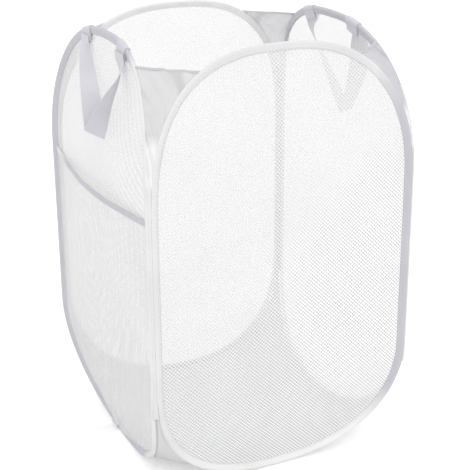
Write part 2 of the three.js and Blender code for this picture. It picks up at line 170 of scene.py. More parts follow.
def hoop_outline():
    """The hoop's outer edge as places across and up the wall: top, left, foot, right."""
    outline = []

    def arc_point(angle, roundness, side):
        across = math.cos(angle) * side
        share = max(0.0, math.sin(angle)) ** (2 / roundness)
        return SEAM_HALF * math.copysign(abs(across) ** (2 / roundness), across), share

    for i in range(ARC_STEPS + 1):
        x, share = arc_point(math.pi * i / ARC_STEPS, TOP_ROUNDNESS, 1)
        outline.append((x, WALL_HEIGHT - TOP_ARC + TOP_ARC * share))
    side = WALL_HEIGHT - TOP_ARC - BOTTOM_ARC
    for i in range(1, SIDE_STEPS):
        outline.append((-SEAM_HALF, BOTTOM_ARC + side * (1 - i / SIDE_STEPS)))
    for i in range(ARC_STEPS + 1):
        x, share = arc_point(math.pi * i / ARC_STEPS, BOTTOM_ROUNDNESS, -1)
        outline.append((x, BOTTOM_ARC - BOTTOM_ARC * share))
    for i in range(1, SIDE_STEPS):
        outline.append((SEAM_HALF, BOTTOM_ARC + side * i / SIDE_STEPS))
    return outline


def hoop_stations():
    """The outline as places in space, each with its directions."""
    outline = hoop_outline()
    count = len(outline)
    stations = []
    for i, (x, z) in enumerate(outline):
        before, after = outline[i - 1], outline[(i + 1) % count]
        along = (wall_point(*after) - wall_point(*before)).normalized()
        out = wall_normal(z)
        inward = out.cross(along).normalized()
        lean = SEAM_LEAN if z < BOTTOM_ARC else SEAM_LEAN * abs(inward.x)
        stations.append(Station(x, z, wall_point(x, z), inward, out, lean))
    return stations


STATIONS = hoop_stations()
TOP_STATIONS = STATIONS[: ARC_STEPS + 1]
BOTTOM_STATIONS = STATIONS[ARC_STEPS + SIDE_STEPS : 2 * ARC_STEPS + SIDE_STEPS + 1]


def station_at(arc, x):
    """The place at some x on an arc, between the two stations that it lies between."""
    for a, b in zip(arc, arc[1:]):
        if (a.x - x) * (b.x - x) <= 0 and a.x != b.x:
            return a.mixed(b, (x - a.x) / (b.x - a.x))
    raise ValueError("no place on the arc at %.4f" % x)


def stations_across(arc, first, last, count):
    """Places at even steps across an arc."""
    return [station_at(arc, first + (last - first) * i / count) for i in range(count + 1)]


def ripple(x, y, z, scale, seed=0.0):
    """Smooth noise from about -1 to 1."""
    return noise.noise(Vector((x * scale + seed, y * scale - seed, z * scale + 3.1 * seed)))


# ---- Mesh tools


def sheet_mesh(columns, rows, place, flat):
    """A grid of faces whose corners go where place says; flat gives the cloth's own coordinates."""
    bm = bmesh.new()
    bmesh.ops.create_grid(bm, x_segments=columns, y_segments=rows, size=0.5)
    layer = bm.loops.layers.uv.new("UVMap")
    shares = {v: (v.co.x + 0.5, v.co.y + 0.5) for v in bm.verts}
    for face in bm.faces:
        for loop in face.loops:
            loop[layer].uv = flat(*shares[loop.vert])
    for v, (s, t) in shares.items():
        v.co = place(s, t)
    bmesh.ops.remove_doubles(bm, verts=bm.verts[:], dist=1e-6)
    bmesh.ops.dissolve_degenerate(bm, edges=bm.edges[:], dist=1e-7)
    return bm


def mirrored(half):
    """A closed section from one half of it, whose other half lies on the far side of its middle."""
    return half + [(x, -y) for x, y in reversed(half)]


def sweep_mesh(places, section, closed, wander=None):
    """A section carried along places; wander may move a corner, by place."""
    count, corners = len(places), len(section)
    lengths = [0.0]
    for i in range(1, count + (1 if closed else 0)):
        lengths.append(lengths[-1] + (places[i % count].point - places[i - 1].point).length)
    girth = [0.0]
    for j in range(1, corners + 1):
        a, b = section[j - 1], section[j % corners]
        girth.append(girth[-1] + math.hypot(a[0] - b[0], a[1] - b[1]))
    columns = count if closed else count - 1

    def place(s, t):
        i, j = round(s * columns) % count, round(t * corners) % corners
        depth, out = section[j]
        if wander:
            depth, out = wander(i, depth, out)
        return places[i].at(depth, out)

    bm = sheet_mesh(columns, corners, place,
                    lambda s, t: (lengths[round(s * columns)], girth[round(t * corners)]))
    if not closed:
        bmesh.ops.holes_fill(bm, edges=[e for e in bm.edges if e.is_boundary], sides=0)
    return bm


def add_object(name, bm, material, turn=0.0, closed=True, sharp=40):
    """A finished piece, smooth but for its sharp edges."""
    if closed and bm.calc_volume(signed=True) < 0:
        bmesh.ops.reverse_faces(bm, faces=bm.faces[:])
    if turn:
        bmesh.ops.rotate(bm, verts=bm.verts[:], cent=(0, 0, 0), matrix=Matrix.Rotation(turn, 3, "Z"))
    mesh = bpy.data.meshes.new(name)
    bm.to_mesh(mesh)
    bm.free()
    mesh.polygons.foreach_set("use_smooth", [True] * len(mesh.polygons))
    mesh.set_sharp_from_angle(angle=math.radians(sharp))
    mesh.materials.append(material)
    piece = bpy.data.objects.new(name, mesh)
    bpy.context.scene.collection.objects.link(piece)
    return piece


def strip(name, places, section, material, turn):
    """A swept piece with closed ends."""
    return add_object(name, sweep_mesh(places, section, False), MATERIALS[material], turn)


def cloth(name, bm, material, turn=0.0, thickness=0.0, offset=0.0):
    """A piece of cloth or net with open edges, given thickness where it has some."""
    piece = add_object(name, bm, MATERIALS[material], turn, closed=False, sharp=80)
    return thicken(piece, thickness, offset) if thickness else piece


def own(piece, body=None, stands_for=None):
    """Says which body a piece rides, which solid it replaces."""
    if body:
        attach(piece, body)
    if stands_for:
        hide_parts(stands_for)
    return piece


def thicken(piece, thickness, offset=0.0):
    """Gives a sheet its thickness."""
    solidify = piece.modifiers.new("Thickness", "SOLIDIFY")
    solidify.thickness = thickness
    solidify.offset = offset
    return piece


def stitch_spots(line, settings):
    """Where each stitch goes along a line, a list of points with their face's normals."""
    spots = []
    size = Matrix.Diagonal((settings.stitch_length / 2, settings.stitch_width / 2,
                            settings.stitch_width * 0.4, 1))
    due = settings.stitch_pitch / 2
    for (a, normal), (b, _) in zip(line, line[1:]):
        run = (b - a).length
        if run < 1e-7:
            continue
        along = (b - a) / run
        side = normal.cross(along).normalized()
        turn = Matrix((along, side, along.cross(side))).transposed().to_4x4()
        while due <= run:
            spots.append(Matrix.Translation(a + along * due) @ turn @ size)
            due += settings.stitch_pitch
        due -= run
    return spots


def stitch_mesh(spots):
    """One small bead for every spot: a bead is copied until there are enough, then each is placed."""
    bm = bmesh.new()
    bmesh.ops.create_uvsphere(bm, u_segments=6, v_segments=4, radius=1,
                              matrix=Matrix.Rotation(math.pi / 2, 4, "Y"))
    number = bm.verts.layers.int.new("corner")
    shape = [v.co.copy() for v in bm.verts]
    for i, v in enumerate(bm.verts):
        v[number] = i
    made = 1
    while made < len(spots):
        bmesh.ops.duplicate(bm, geom=bm.verts[:] + bm.edges[:] + bm.faces[:])
        made *= 2
    left = iter(spots)
    spare = []
    for start in bm.verts:
        if start.tag:
            continue
        start.tag = True
        bead = [start]
        for v in bead:
            for other in (edge.other_vert(v) for edge in v.link_edges):
                if not other.tag:
                    other.tag = True
                    bead.append(other)
        spot = next(left, None)
        if spot is None:
            spare += bead
            continue
        for v in bead:
            v.co = spot @ shape[v[number]]
    bmesh.ops.delete(bm, geom=spare, context="VERTS")
    bm.verts.layers.int.remove(number)
    return bm


# ---- Materials


def new_group(name, values, results):
    """A node group that takes a Vector and the numbers in values, and gives the numbers in results."""
    group = bpy.data.node_groups.new(name, "ShaderNodeTree")
    group.interface.new_socket("Vector", in_out="INPUT", socket_type="NodeSocketVector")
    for label, value in values.items():
        socket = group.interface.new_socket(label, in_out="INPUT", socket_type="NodeSocketFloat")
        socket.default_value = value
    for label in results:
        group.interface.new_socket(label, in_out="OUTPUT", socket_type="NodeSocketFloat")
    given, out = group.nodes.new("NodeGroupInput"), group.nodes.new("NodeGroupOutput")
    return group, given.outputs, out.inputs


def math_node(nodes, links, operation, *values):
    """The result of a sum on numbers and sockets."""
    node = nodes.new("ShaderNodeMath")
    node.operation = operation
    for socket, value in zip(node.inputs, values):
        if isinstance(value, (int, float)):
            socket.default_value = value
        else:
            links.new(value, socket)
    return node.outputs[0]


def preset(node, values):
    """Sets a node's inputs."""
    for label, value in values.items():
        node.inputs[label].default_value = value


def axes(nodes, links, vector):
    """The three coordinates of a vector."""
    split = nodes.new("ShaderNodeSeparateXYZ")
    links.new(vector, split.inputs[0])
    return split.outputs[0], split.outputs[1], split.outputs[2]


def net_group():
    """Round holes on a diamond lattice, as knitted net has: Threads is 1 on the thread."""
    group, given, out = new_group("Net pattern", dict(Pitch=0.003, Open=0.3, Soft=0.8, Veil=0.0),
                                  ("Threads", "Height"))
    nodes, links = group.nodes, group.links
    m = lambda *a: math_node(nodes, links, *a)
    x, y, _ = axes(nodes, links, given["Vector"])
    turn = m("DIVIDE", 2 * math.pi, given["Pitch"])
    a = m("COSINE", m("MULTIPLY", m("ADD", x, y), turn))
    b = m("COSINE", m("MULTIPLY", m("SUBTRACT", x, y), turn))
    field = m("ADD", a, b)
    soft = nodes.new("ShaderNodeMapRange")
    links.new(field, soft.inputs["Value"])
    links.new(m("SUBTRACT", given["Open"], given["Soft"]), soft.inputs["From Min"])
    links.new(m("ADD", given["Open"], given["Soft"]), soft.inputs["From Max"])
    soft.inputs["To Min"].default_value = 1.0
    links.new(given["Veil"], soft.inputs["To Max"])
    links.new(soft.outputs[0], out["Threads"])
    links.new(m("MULTIPLY", field, -0.5), out["Height"])
    return group


def weave_group():
    """Plain weave: threads that go over and under each other; Shade is low between the threads, a
    painted shade.
    """
    group, given, out = new_group("Plain weave", dict(Warp=0.0006, Weft=0.0006), ("Height", "Shade"))
    nodes, links = group.nodes, group.links
    m = lambda *a: math_node(nodes, links, *a)
    x, y, _ = axes(nodes, links, given["Vector"])
    a = m("MULTIPLY", x, m("DIVIDE", math.pi, given["Warp"]))
    b = m("MULTIPLY", y, m("DIVIDE", math.pi, given["Weft"]))
    over = m("MULTIPLY", m("SINE", a), m("SINE", b))
    rows = m("ADD", m("ABSOLUTE", m("SINE", a)), m("ABSOLUTE", m("SINE", b)))
    links.new(m("ADD", m("MULTIPLY", over, 0.35), m("MULTIPLY", rows, 0.5)), out["Height"])
    shade = nodes.new("ShaderNodeMapRange")
    preset(shade, {"From Min": 0.0, "From Max": 1.2})
    links.new(rows, shade.inputs["Value"])
    links.new(shade.outputs[0], out["Shade"])
    return group


def mottle_group():
    """Uneven dye and soft creases: broad clouds and short streaks."""
    group, given, out = new_group("Cloth mottle", dict(Clouds=14.0, Creases=60.0), ("Shade", "Height"))
    nodes, links = group.nodes, group.links
    clouds = nodes.new("ShaderNodeTexNoise")
    clouds.inputs["Detail"].default_value = 3
    creases = nodes.new("ShaderNodeTexNoise")
    preset(creases, dict(Detail=2, Distortion=1.2))
    for node, label in ((clouds, "Clouds"), (creases, "Creases")):
        links.new(given["Vector"], node.inputs["Vector"])
        links.new(given[label], node.inputs["Scale"])
    links.new(clouds.outputs["Fac"], out["Shade"])
    links.new(creases.outputs["Fac"], out["Height"])
    return group


def fold_shade_group():
    """Painted shade of soft folds that run slantwise down a gusset, from one hoop to the other: Shade
    is low in a fold.
    """
    group, given, out = new_group("Painted fold shade", dict(Slant=0.5, Across=55.0, Along=9.0), ("Shade",))
    nodes, links = group.nodes, group.links
    m = lambda *a: math_node(nodes, links, *a)
    x, y, _ = axes(nodes, links, given["Vector"])
    over = m("SUBTRACT", y, m("MULTIPLY", x, given["Slant"]))
    join = nodes.new("ShaderNodeCombineXYZ")
    links.new(m("MULTIPLY", over, given["Across"]), join.inputs[0])
    links.new(m("MULTIPLY", y, given["Along"]), join.inputs[1])
    clouds = nodes.new("ShaderNodeTexNoise")
    preset(clouds, dict(Scale=1.0, Detail=1.5))
    links.new(join.outputs[0], clouds.inputs["Vector"])
    links.new(clouds.outputs["Fac"], out["Shade"])
    return group


def edge_shade_group():
    """Painted shade: fine dark lines in the creases along a tape's two folded edges: Shade is 0 on a
    line.
    """
    group, given, out = new_group("Painted tape edge shade", dict(Girth=0.013, Width=0.0008), ("Shade",))
    nodes, links = group.nodes, group.links
    m = lambda *a: math_node(nodes, links, *a)
    _, y, _ = axes(nodes, links, given["Vector"])
    near = m("PINGPONG", y, m("MULTIPLY", given["Girth"], 0.5))
    links.new(m("GREATER_THAN", near, given["Width"]), out["Shade"])
    return group


def twist_group():
    """Sewing thread: fine twisted plies."""
    group, given, out = new_group("Thread twist", dict(Scale=900.0), ("Height",))
    wave = group.nodes.new("ShaderNodeTexWave")
    wave.bands_direction = "DIAGONAL"
    group.links.new(given["Vector"], wave.inputs["Vector"])
    group.links.new(given["Scale"], wave.inputs["Scale"])
    group.links.new(wave.outputs["Fac"], out["Height"])
    return group


class Finish:
    """A material under construction, with the nodes that every cloth here shares."""

    def __init__(self, name, colour, roughness, sheen=0.0):
        self.material = bpy.data.materials.new(name)
        self.material.use_nodes = True
        self.nodes = self.material.node_tree.nodes
        self.links = self.material.node_tree.links
        self.shader = self.nodes["Principled BSDF"]
        preset(self.shader, {"Base Color": (*colour, 1), "Roughness": roughness, "Sheen Weight": sheen,
                             "Sheen Roughness": 0.4, "Specular IOR Level": 0.25})
        coordinates = self.nodes.new("ShaderNodeTexCoord")
        self.flat, self.solid = coordinates.outputs["UV"], coordinates.outputs["Object"]
        self.height = None
        self.colour = None
        self.start = colour

    def group(self, tree, vector, **values):
        node = self.nodes.new("ShaderNodeGroup")
        node.node_tree = tree
        self.links.new(vector, node.inputs["Vector"])
        preset(node, values)
        return node

    def mixed(self, factor, low, high):
        """A colour mix, from its first colour where factor is low to its second where it is high."""
        ramp = self.nodes.new("ShaderNodeMapRange")
        preset(ramp, {"From Min": low, "From Max": high})
        self.links.new(factor, ramp.inputs["Value"])
        mix = self.nodes.new("ShaderNodeMix")
        mix.data_type = "RGBA"
        mix.clamp_factor = True
        self.links.new(ramp.outputs[0], mix.inputs[0])
        return mix

    def tint(self, factor, colour, low, high):
        """Turns the plain colour to another one where factor is high; called before shade."""
        mix = self.mixed(factor, low, high)
        if self.colour is None:
            mix.inputs[6].default_value = (*self.start, 1)
        else:
            self.links.new(self.colour, mix.inputs[6])
        mix.inputs[7].default_value = (*colour, 1)
        self.colour = mix.outputs[2]
        return self

    def painted_inner_light(self, colour, edge, head):
        """Painted light: pales a tape's inner face to a lighter colour up to a height, lifting the
        shade that falls on it inside the hamper.
        """
        round_it = axes(self.nodes, self.links, self.flat)[1]
        inner = math_node(self.nodes, self.links, "GREATER_THAN", round_it, edge)
        low = math_node(self.nodes, self.links, "LESS_THAN", self.place(2), head)
        return self.tint(math_node(self.nodes, self.links, "MULTIPLY", inner, low), colour, 0.0, 1.0)

    def place(self, axis):
        return axes(self.nodes, self.links, self.solid)[axis]

    def shade(self, factor, darker, low=0.0, high=1.0):
        """Darkens the colour where factor is low."""
        mix = self.mixed(factor, low, high)
        if self.colour is None:
            mix.inputs[6].default_value = (*[c * darker for c in self.start], 1)
            mix.inputs[7].default_value = (*self.start, 1)
        else:
            dark = self.nodes.new("ShaderNodeMix")
            dark.data_type = "RGBA"
            dark.blend_type = "MULTIPLY"
            dark.inputs[0].default_value = 1.0
            self.links.new(self.colour, dark.inputs[6])
            dark.inputs[7].default_value = (darker, darker, darker, 1)
            self.links.new(dark.outputs[2], mix.inputs[6])
            self.links.new(self.colour, mix.inputs[7])
        self.colour = mix.outputs[2]
        self.links.new(self.colour, self.shader.inputs["Base Color"])
        return self

    def bump(self, height, distance, strength=1.0):
        node = self.nodes.new("ShaderNodeBump")
        preset(node, dict(Distance=distance, Strength=strength))
        self.links.new(height, node.inputs["Height"])
        if self.height is not None:
            self.links.new(self.height, node.inputs["Normal"])
        self.height = node.outputs[0]
        self.links.new(self.height, self.shader.inputs["Normal"])
        return self


MATERIALS = {}
WHITE = (0.96, 0.96, 0.96)


def build_materials(settings):
    """Every material of the hamper."""
    net, weave = net_group(), weave_group()
    mottle, twist = mottle_group(), twist_group()
    # Painted shade: the slanting folds on the gussets and the lines along the tapes' edges
    folds, edges = fold_shade_group(), edge_shade_group()

    def net_finish(name, pitch, opening, glow, soft=0.8, cover=0.0):
        made = Finish(name, settings.net_colour, 0.75, 0.2)
        # Painted light: the emission makes the net glow a little, though it is no lamp, standing in for
        # light that comes through it
        preset(made.shader, {"Emission Color": (*settings.net_colour, 1), "Emission Strength": glow})
        pattern = made.group(net, made.flat, Pitch=pitch, Open=opening, Soft=soft, Veil=cover)
        clouds = made.group(mottle, made.solid)
        made.shade(clouds.outputs["Shade"], 0.96, 0.35, 0.65)
        # Painted shade: the net's threads darken towards the edges of the holes
        made.shade(pattern.outputs["Height"], 0.95, -0.2, 0.6)
        made.bump(clouds.outputs["Height"], 0.0004, 0.3)
        made.bump(pattern.outputs["Height"], 0.0003, 0.5)
        made.links.new(pattern.outputs["Threads"], made.shader.inputs["Alpha"])
        return made.material

    def cloth_finish(name, colour, warp, weft, relief, clouds=14.0, creases=60.0, crease=0.0006,
                     tints=(), painted_inner_light=None, glow=0.0, folded=None, edge_shade=None):
        made = Finish(name, colour, 0.82, 0.15)
        # Painted light: glow gives the cloth an emission, though it is no lamp
        preset(made.shader, {"Emission Color": (*colour, 1), "Emission Strength": glow})
        for axis, other, low, high in tints:
            made.tint(made.place(axis), other, low, high)
        # Painted light on a tape's inner face
        if painted_inner_light:
            made.painted_inner_light(*painted_inner_light)
        threads = made.group(weave, made.flat, Warp=warp, Weft=weft)
        uneven = made.group(mottle, made.solid, Clouds=clouds, Creases=creases)
        made.shade(uneven.outputs["Shade"], 0.94, 0.35, 0.65)
        # Painted shade between the threads of the weave
        made.shade(threads.outputs["Shade"], 0.86)
        # Painted shade in the gusset's slanting folds
        if folded:
            fold_shade_node = made.group(folds, made.flat)
            made.shade(fold_shade_node.outputs["Shade"], folded, 0.34, 0.52)
        # Painted shade along the tape's folded edges
        if edge_shade:
            lines = made.group(edges, made.flat, Girth=2 * tape_half_girth())
            made.shade(lines.outputs["Shade"], edge_shade)
        made.bump(uneven.outputs["Height"], crease, 0.5)
        made.bump(threads.outputs["Height"], relief, 0.6)
        return made.material

    MATERIALS["front_net"] = net_finish("white knitted net", settings.net_pitch, settings.net_open,
                                        settings.net_painted_glow, 1.4, 0.3)
    MATERIALS["side_net"] = net_finish("white fine net", settings.side_net_pitch, settings.net_open,
                                       settings.net_painted_glow)
    MATERIALS["pocket_net"] = net_finish("white pocket net", settings.side_net_pitch,
                                         settings.net_open * 0.7, settings.net_painted_glow * 1.4)
    pale, shaded = settings.binding_colour, settings.binding_shade_colour
    # Painted light on the tapes' inner faces: the net's colour, below a height
    painted_inner_light = (settings.net_colour, tape_half_girth(), 0.515)

    # Tints are an axis, a colour, and where along the axis it starts and is full. On the tapes they are
    # painted light and shade: one white tape gets a shaded tone where it turns from the light and
    # lighter tones where light falls on it.
    def tape(name, colour, tints=(), painted_inner_light=None, edge_shade=None):
        return cloth_finish(name, colour, 0.0005, 0.0008, 0.0001, tints=tints, painted_inner_light=painted_inner_light, edge_shade=edge_shade)

    # Painted light and shade: the front tape turns to the shaded tone on its right side and to white at
    # its foot, which the floor lights
    across = tape("front tape painted lit and shaded", pale, ((0, shaded, 0.13, 0.165), (2, WHITE, 0.09, 0.03)),
                  painted_inner_light, 0.8)
    # Painted shade: the left tape has the shaded tone except near the front left corner
    along = tape("lilac binding tape", pale, ((1, shaded, -0.108, -0.085),), painted_inner_light, 0.8)
    # Painted light: the rear tape gets a whiter tone than the same tape on the other walls
    rear = tape("rear tape painted lighter", WHITE, (), painted_inner_light)
    # Painted shade: the right tape has the shaded tone except at its front end
    right = tape("lilac right tape", pale, ((1, shaded, -0.180, -0.165),), painted_inner_light, 0.8)
    MATERIALS.update(front_tape=across, back_tape=rear, left_tape=along, right_tape=right)
    # Painted shade: the trim has the shaded tone, turning pale towards the rear
    MATERIALS["trim"] = tape("lilac trim tape", shaded, ((1, pale, 0.11, 0.15),))
    plain = (0.0004, 0.0004, 0.00006)
    MATERIALS["cloth"] = cloth_finish("pale plain cloth", settings.cloth_colour, *plain,
                                      clouds=9.0, creases=34.0, crease=0.0016)
    # Painted light and shade on the gussets: the right-hand ones turn to the shaded tone, the rear ones
    # to a lighter colour that lifts their shade, and each turns white below a height
    gusset_tints = ((0, shaded, 0.02, 0.14), (1, settings.rear_gusset_light_colour, -0.05, 0.05),
                    (2, WHITE, 0.497, 0.482))
    # Painted light: the gussets glow a little, though they are no lamp
    MATERIALS["gusset"] = cloth_finish("gusset cloth", settings.gusset_colour, *plain,
                                       clouds=9.0, creases=50.0, crease=0.004, tints=gusset_tints,
                                       glow=0.05, folded=0.82)
    MATERIALS["webbing"] = cloth_finish("grey ribbed webbing", settings.webbing_colour,
                                        0.0022, 0.0009, 0.0002)
    # Painted light: the tie glows a little, though it is no lamp, so that it stays as white as the
    # floor
    MATERIALS["tie"] = cloth_finish("white woven tape", settings.tie_colour, 0.0008, 0.0006, 0.0001,
                                    glow=0.2)

    thread = Finish("sewing thread", settings.thread_colour, 0.6, 0.1)
    plies = thread.group(twist, thread.solid)
    # Painted shade in the grooves between the thread's plies
    thread.shade(plies.outputs["Height"], 0.85)
    thread.bump(plies.outputs["Height"], 0.00008, 0.6)
    MATERIALS["thread"] = thread.material

    steel = Finish("spring steel", (0.55, 0.56, 0.58), 0.32)
    steel.shader.inputs["Metallic"].default_value = 1.0
    grain = steel.group(mottle, steel.solid, Clouds=400.0, Creases=900.0)
    steel.shade(grain.outputs["Shade"], 0.85, 0.3, 0.7)
    steel.bump(grain.outputs["Height"], 0.00005, 0.3)
    MATERIALS["steel"] = steel.material


# ---- Settings


def length(name, description, default, low=0.00005, high=1.0):
    return bpy.props.FloatProperty(name=name, description=description, default=default, min=low,
                                   max=high, unit="LENGTH", precision=5)


def colour(name, description, default):
    return bpy.props.FloatVectorProperty(name=name, description=description, default=default, size=3,
                                         min=0.0, max=1.0, subtype="COLOR")


class HamperFabricSettings(bpy.types.PropertyGroup):
    """Sizes and colours of the hamper's fabrics."""

    net_pitch: length("Net pitch", "Width and height of the front net's repeat", 0.0052)
    side_net_pitch: length("Side net pitch", "Width and height of the other nets' repeat", 0.0026)
    net_open: bpy.props.FloatProperty(name="Net opening", description="Lower values open the holes",
                                      default=0.25, min=-1.0, max=1.5)
    net_sag: length("Net waves", "How far the net walls wave out of their plane", 0.0015, 0.0, 0.01)
    stitch_length: length("Stitch length", "Length of one stitch", 0.0030)
    stitch_pitch: length("Stitch spacing", "Distance from one stitch to the next", 0.0042)
    stitch_width: length("Thread thickness", "Thickness of the sewing thread", 0.00055)
    net_colour: colour("Net", "Colour of the knitted net", (0.92, 0.92, 0.922))
    # Painted light: the nets' glow stands in for light that comes through them and lifts the nets that
    # sit in shade
    net_painted_glow: bpy.props.FloatProperty(name="Net glow", description="Light that comes through the net",
                                      default=0.035, min=0.0, max=1.0)
    binding_colour: colour("Binding", "Colour of the pale parts of the binding", (0.87, 0.87, 0.875))
    # Painted shade: the binding's shaded tone, painted where the white tape turns from the light, and
    # on the trim
    binding_shade_colour: colour("Trim", "Colour of the other parts of the binding", (0.64, 0.633, 0.675))
    cloth_colour: colour("Cloth", "Colour of the base", (0.77, 0.77, 0.78))
    gusset_colour: colour("Gusset", "Colour of the front gussets", (0.75, 0.75, 0.755))
    # Painted light: the rear gussets are given a lighter colour than the front ones, lifting the shade
    # inside the back corners
    rear_gusset_light_colour: colour("Rear gusset", "Colour of the rear gussets", (0.96, 0.955, 0.975))
    webbing_colour: colour("Webbing", "Colour of the handles", (0.72, 0.715, 0.765))
    tie_colour: colour("Tie", "Colour of the tie strap", (0.97, 0.97, 0.97))
    thread_colour: colour("Thread", "Colour of the sewing thread", (0.74, 0.74, 0.77))


class HamperStageSettings(bpy.types.PropertyGroup):
    """Camera, floor and light."""

    camera_place: bpy.props.FloatVectorProperty(
        name="Camera place", description="Where the camera stands", size=3, unit="LENGTH",
        default=(-0.65719, -1.40455, 0.87878))
    camera_turn: bpy.props.FloatVectorProperty(
        name="Camera turn", description="The camera's rotation", size=3, unit="ROTATION",
        default=(math.radians(69.52424), math.radians(0.32496), math.radians(-25.53688)))
    lens: bpy.props.FloatProperty(name="Lens", description="Focal length in millimetres",
                                  default=89.955)
    shift: bpy.props.FloatVectorProperty(name="Shift", description="Shift of the picture", size=2,
                                         default=(0.007155, -0.02361))
    sky: bpy.props.FloatProperty(name="Sky", description="Strength of the even light", default=0.94)
    lamp: bpy.props.FloatProperty(name="Lamp", description="Power of the large lamp", default=12.0,
                                  unit="POWER")
    floor_size: length("Floor size", "Width of the floor", 24.0, 1.0, 100.0)


# ---- Pieces


def tape_section():
    """Folded tape round the wire, tapering to its sewn edge: into the wall, out of the wall."""
    half = [(TAPE_WIDTH, 0.00125), (0.0094, 0.00140), (0.0080, 0.00150), (0.0064, 0.00185),
            (0.0050, 0.00238), (0.0038, 0.00272), (0.0026, 0.00283), (0.0014, 0.00262),
            (0.0005, 0.00200), (0.0, 0.00105)]
    return mirrored(half)


TAPE_SECTION = tape_section()


def tape_half_girth():
    """How far it is round the tape's outer face, from its sewn edge to its nose."""
    half = TAPE_SECTION[: len(TAPE_SECTION) // 2] + [(0.0, 0.0)]
    return sum(math.dist(a, b) for a, b in zip(half, half[1:]))


def add_binding(name, turn, body, seed):
    """The folded tape, a little uneven as sewn tape is."""

    def wander(i, depth, out):
        p = STATIONS[i].point
        loose = ripple(p.x, p.z, 0, 42.0, seed)
        flat = depth / TAPE_WIDTH
        return depth + 0.0005 * flat * ripple(p.x, p.z, 1, 55.0, seed), out * (1 + 0.07 * loose)

    bm = sweep_mesh(STATIONS, TAPE_SECTION, True, wander)
    piece = add_object(name + "_binding_tape", bm, MATERIALS[name + "_tape"], turn)
    return own(piece, body, name + "_wall_binding")


def add_tape_lap(name, turn, body):
    """Where the tape's two ends overlap, at the foot of the wall."""
    places = stations_across(BOTTOM_STATIONS, -0.030, -0.018, 10)
    section = [(x - 0.0001 if x < 0.002 else x + 0.0001, y + math.copysign(0.0003, y))
               for x, y in TAPE_SECTION]
    piece = strip(name + "_binding_lap", places, section, name + "_tape", turn)
    return own(piece, body)


def add_net(name, turn, body, settings, seed):
    """The wall's net: level rows between its two sides, its edge inside the tape."""
    side = (BOTTOM_STATIONS[ARC_STEPS // 2 :] + STATIONS[2 * ARC_STEPS + SIDE_STEPS + 1 :]
            + TOP_STATIONS[: ARC_STEPS // 2 + 1])
    edge = [station.at(NET_DEPTH, 0) for station in side]
    outs = [station.out for station in side]
    rows = len(edge) - 1

    def place(s, t):
        i = round(t * rows)
        right = edge[i]
        across = 2 * s - 1
        x = max(0.0, right.x) * across
        slack = (1 - across ** 2) * max(0.0, math.sin(math.pi * t))
        wave = ripple(x, right.z, 0, 9.0, seed) + 0.5 * ripple(x, right.z, 0, 22.0, seed)
        return Vector((x, right.y, right.z)) + outs[i] * settings.net_sag * slack * wave

    def flat(s, t):
        p = place(s, t)
        return p.x, p.z

    bm = sheet_mesh(NET_COLUMNS, rows, place, flat)
    piece = cloth(name + "_net", bm, "front_net" if name == "front" else "side_net", turn)
    return own(piece, body, name + "_wall_mesh")


def face_line(places, depth, out, side):
    """A line on one side of a swept piece, points with normals, for stitches."""
    return [(place.at(depth, side * out), place.out * side) for place in places]


def both_faces(places, depth, out):
    """A line on each of the two sides."""
    return [face_line(places, depth, out, side) for side in (1, -1)]


def stitched(name, body, turn, lines, settings):
    """Stitches along lines, as one piece."""
    spots = [spot for line in lines for spot in stitch_spots(line, settings)]
    return own(add_object(name, stitch_mesh(spots), MATERIALS["thread"], turn), body)


class HAMPER_OT_walls(bpy.types.Operator):
    """Net, binding tape, tape lap and stitching of the four walls, and their steel hoops"""

    bl_idname = "hamper.walls"
    bl_label = "Walls"

    def execute(self, context):
        settings = context.scene.hamper_fabric
        for seed, (name, turn) in enumerate(TURNS.items()):
            body = name + "_wall"
            binding = add_binding(name, turn, body, 1.7 + seed)
            lap = add_tape_lap(name, turn, body)
            sewing = stitched(name + "_binding_stitches", body, turn,
                              both_faces(STATIONS + STATIONS[:1], SEW_DEPTH, TAPE_FACE), settings)
            net = add_net(name, turn, body, settings, 5.3 + seed)
            for part in ("_wall_hoop", "_wall_hoop_ferrule"):
                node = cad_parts[name + part]
                node.data.materials.clear()
                node.data.materials.append(MATERIALS["steel"])
        return {"FINISHED"}


# Corner pieces are made at the front left corner and turned
CORNER_ACROSS = Vector((-1, 1, 0)).normalized()
CORNER_OUT = Vector((-1, -1, 0)).normalized()
GUSSET_FOOT, GUSSET_HEAD = 0.431, 0.564
GUSSET_FOLD = 0.0032


def corner_half_gap(z, inset):
    """Half of the gap between two hoops at a corner."""
    return (wall_offset(z) - edge_half_width(z)) / math.sqrt(2) - inset


def corner_point(z, across, out):
    """A point of the front left corner, from the line midway between its hoops."""
    reach = (wall_offset(z) + edge_half_width(z)) / math.sqrt(2)
    return Vector((0, 0, z + FLOOR_LIFT)) + CORNER_OUT * (reach + out) + CORNER_ACROSS * across


def corner_across(piece):
    """Bakes a corner piece's placement into its mesh."""
    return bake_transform(piece)


def gusset_place(z, share, seed):
    """A point of a gusset, with its folds and creases."""
    half = corner_half_gap(z, 0.0002)
    across = half * share
    slack = (1 - share ** 2) * min(1.0, max(0.0, (z - GUSSET_FOOT) / 0.03))
    fold = ripple(across + 0.9 * z, 0.25 * (z - across), 0, 70.0, seed)
    creases = ripple(across, z, 0, 40.0, seed) + 1.6 * fold
    return corner_point(z, across, GUSSET_FOLD * slack * creases)


